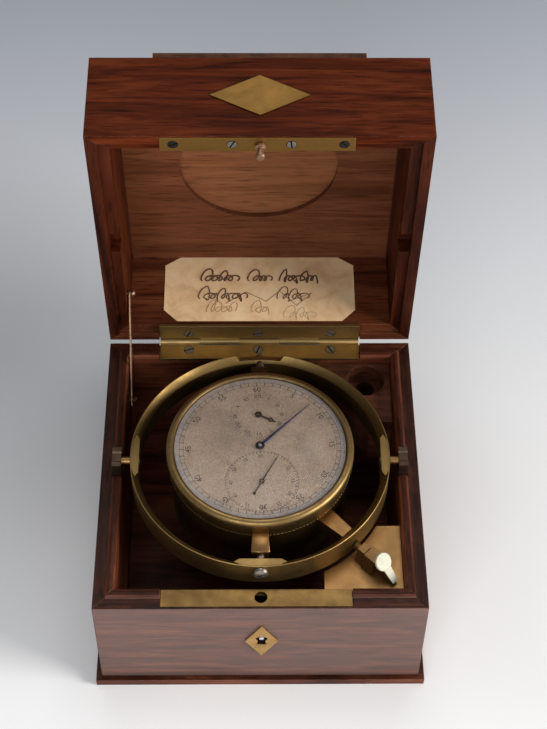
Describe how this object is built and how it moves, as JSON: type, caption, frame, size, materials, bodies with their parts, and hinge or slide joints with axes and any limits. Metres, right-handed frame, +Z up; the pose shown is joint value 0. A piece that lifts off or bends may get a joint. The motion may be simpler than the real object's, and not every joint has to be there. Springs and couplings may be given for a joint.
{
  "type": "marine chronometer",
  "caption": "Marine chronometer: a brass bowl with a silvered dial, slung in a gimbal ring inside an open hinged wooden box",
  "frame": {"origin": "centre of the flat underside of the box", "axes": "+Z is up, +X is the right-hand side seen from the front, -Y is the front, where the lock is; the lid is hinged at +Y and stands open"},
  "size_m": [0.1822, 0.2416, 0.2628],
  "materials": {
    "tray_wood": "old polished rosewood",
    "lid_wood": "old polished rosewood",
    "old_brass": "dulled brass",
    "bowl_brass": "lacquered brass, warm where worn",
    "silvered_brass": "matt silvering",
    "steel": "polished steel",
    "blued_steel": "dark blued steel",
    "clear_glass": "clear polished glass"
  },
  "bodies": {
    "tray": {"base_moulding": "tray_wood", "tray_bottom": "tray_wood", "tray_front_wall": "tray_wood", "tray_back_wall": "tray_wood", "tray_left_wall": "tray_wood", "tray_right_wall": "tray_wood", "corner_block": "tray_wood", "key_well_block": "tray_wood", "lock_plate": "old_brass", "box_lock_case": "old_brass", "escutcheon": "old_brass", "hinge_lower_leaf": "old_brass", "hinge_pin": "steel", "stay_lower_pin": "old_brass", "left_gimbal_bearing": "old_brass", "right_gimbal_bearing": "old_brass", "corner_plate": "old_brass", "lock_guide_block": "old_brass"},
    "lid": {"lid_front_wall": "lid_wood", "lid_back_wall": "lid_wood", "lid_left_wall": "lid_wood", "lid_right_wall": "lid_wood", "lid_top_panel": "lid_wood", "number_plate": "old_brass", "latch_plate": "old_brass", "latch_stud": "old_brass", "hinge_upper_leaf": "old_brass", "stay_upper_pin": "old_brass"},
    "stay": {"lid_stay": "old_brass"},
    "window_shutter": {"lid_shutter": "lid_wood"},
    "box_bolt": {"box_lock_bolt": "steel"},
    "ring_lock": {"gimbal_lock_bolt": "old_brass"},
    "ring": {"gimbal_ring": "bowl_brass", "left_ring_pivot": "steel", "right_ring_pivot": "steel", "front_pivot_screw": "steel", "back_pivot_screw": "steel"},
    "bowl_body": {"bowl": "bowl_brass", "bezel": "bowl_brass", "crystal": "clear_glass", "dial": "silvered_brass", "front_pivot_block": "bowl_brass", "back_pivot_block": "bowl_brass", "lock_lug": "bowl_brass", "top_plate": "bowl_brass", "pillar_plate": "bowl_brass", "balance_spring": "blued_steel"},
    "seconds_arbor": {"fourth_wheel": "bowl_brass", "seconds_hand": "blued_steel"},
    "minute_arbor": {"centre_arbor": "steel", "minute_hand": "blued_steel"},
    "hour_arbor": {"hour_wheel": "bowl_brass", "hour_hand": "blued_steel"},
    "third_arbor": {"third_wheel": "bowl_brass"},
    "escape_arbor": {"escape_wheel": "bowl_brass"},
    "fusee_arbor": {"fusee": "bowl_brass"},
    "barrel_arbor": {"spring_barrel": "bowl_brass"},
    "balance_arbor": {"balance": "bowl_brass"},
    "detent_arm": {"detent": "steel"},
    "winding_shutter": {"dust_shutter": "bowl_brass"}
  },
  "joints": [
    {"name": "lid_hinge", "type": "hinge", "parent": "tray", "child": "lid", "pos_m": [0, 0.09096, 0.0782], "axis": [-1, 0, 0], "range_deg": [-84.8, 0]},
    {"name": "stay_pivot", "type": "hinge", "parent": "lid", "child": "stay", "pos_m": [-0.075, 0.09881, 0.11225], "axis": [-1, 0, 0], "range_deg": [0, 42.4]},
    {"name": "window_slide", "type": "slide", "parent": "lid", "child": "window_shutter", "axis": [0, -0.0906, 0.9959], "range_m": [0, 0.09]},
    {"name": "box_bolt_slide", "type": "slide", "parent": "tray", "child": "box_bolt", "axis": [1, 0, 0], "range_m": [0, 0.007]},
    {"name": "ring_lock_slide", "type": "slide", "parent": "tray", "child": "ring_lock", "axis": [-0.7071, 0.7071, 0], "range_m": [0, 0.0076]},
    {"name": "ring_pivot", "type": "hinge", "parent": "tray", "child": "ring", "pos_m": [0, 0, 0.08507], "axis": [1, 0, 0], "range_deg": [-25, 25]},
    {"name": "bowl_pivot", "type": "hinge", "parent": "ring", "child": "bowl_body", "pos_m": [0, 0, 0.08507], "axis": [0, 1, 0], "range_deg": [-25, 180]},
    {"name": "seconds_turn", "type": "hinge", "parent": "bowl_body", "child": "seconds_arbor", "pos_m": [0.00097, -0.02308, 0.08], "axis": [0, 0, -1], "continuous": true},
    {"name": "minute_turn", "type": "hinge", "parent": "bowl_body", "child": "minute_arbor", "pos_m": [0, 0, 0.08], "axis": [0, 0, -1], "continuous": true},
    {"name": "hour_turn", "type": "hinge", "parent": "bowl_body", "child": "hour_arbor", "pos_m": [-0.0009, 0.02143, 0.08], "axis": [0, 0, -1], "continuous": true},
    {"name": "third_turn", "type": "hinge", "parent": "bowl_body", "child": "third_arbor", "pos_m": [0.0109, -0.0113, 0.08], "axis": [0, 0, -1], "continuous": true},
    {"name": "escape_turn", "type": "hinge", "parent": "bowl_body", "child": "escape_arbor", "pos_m": [-0.0108, -0.0255, 0.07], "axis": [0, 0, -1], "continuous": true},
    {"name": "fusee_turn", "type": "hinge", "parent": "bowl_body", "child": "fusee_arbor", "pos_m": [-0.0175, 0.0097, 0.07], "axis": [0, 0, -1], "continuous": true},
    {"name": "barrel_turn", "type": "hinge", "parent": "bowl_body", "child": "barrel_arbor", "pos_m": [0.022, 0.02, 0.07], "axis": [0, 0, -1], "continuous": true},
    {"name": "balance_swing", "type": "hinge", "parent": "bowl_body", "child": "balance_arbor", "pos_m": [-0.006, -0.014, 0.05], "axis": [0, 0, -1], "range_deg": [-135, 135], "stiffness_Nm_per_rad": 0.00036},
    {"name": "detent_pivot", "type": "hinge", "parent": "bowl_body", "child": "detent_arm", "pos_m": [-0.024, -0.018, 0.065], "axis": [0, 0, -1], "range_deg": [-4, 4], "stiffness_Nm_per_rad": 0.0005},
    {"name": "winding_shutter_pivot", "type": "hinge", "parent": "bowl_body", "child": "winding_shutter", "pos_m": [-0.006, 0.02, 0.041], "axis": [0, 0, 1], "range_deg": [0, 50], "stiffness_Nm_per_rad": 0.001}
  ],
  "couplings": [
    {"joint": "stay_pivot", "follows": "lid_hinge", "ratio": -0.5},
    {"joint": "seconds_turn", "follows": "minute_turn", "ratio": 60},
    {"joint": "hour_turn", "follows": "minute_turn", "ratio": 0.083333},
    {"joint": "third_turn", "follows": "minute_turn", "ratio": -7.5},
    {"joint": "escape_turn", "follows": "minute_turn", "ratio": -480},
    {"joint": "fusee_turn", "follows": "minute_turn", "ratio": -0.15556},
    {"joint": "barrel_turn", "follows": "minute_turn", "ratio": -0.0996}
  ]
}
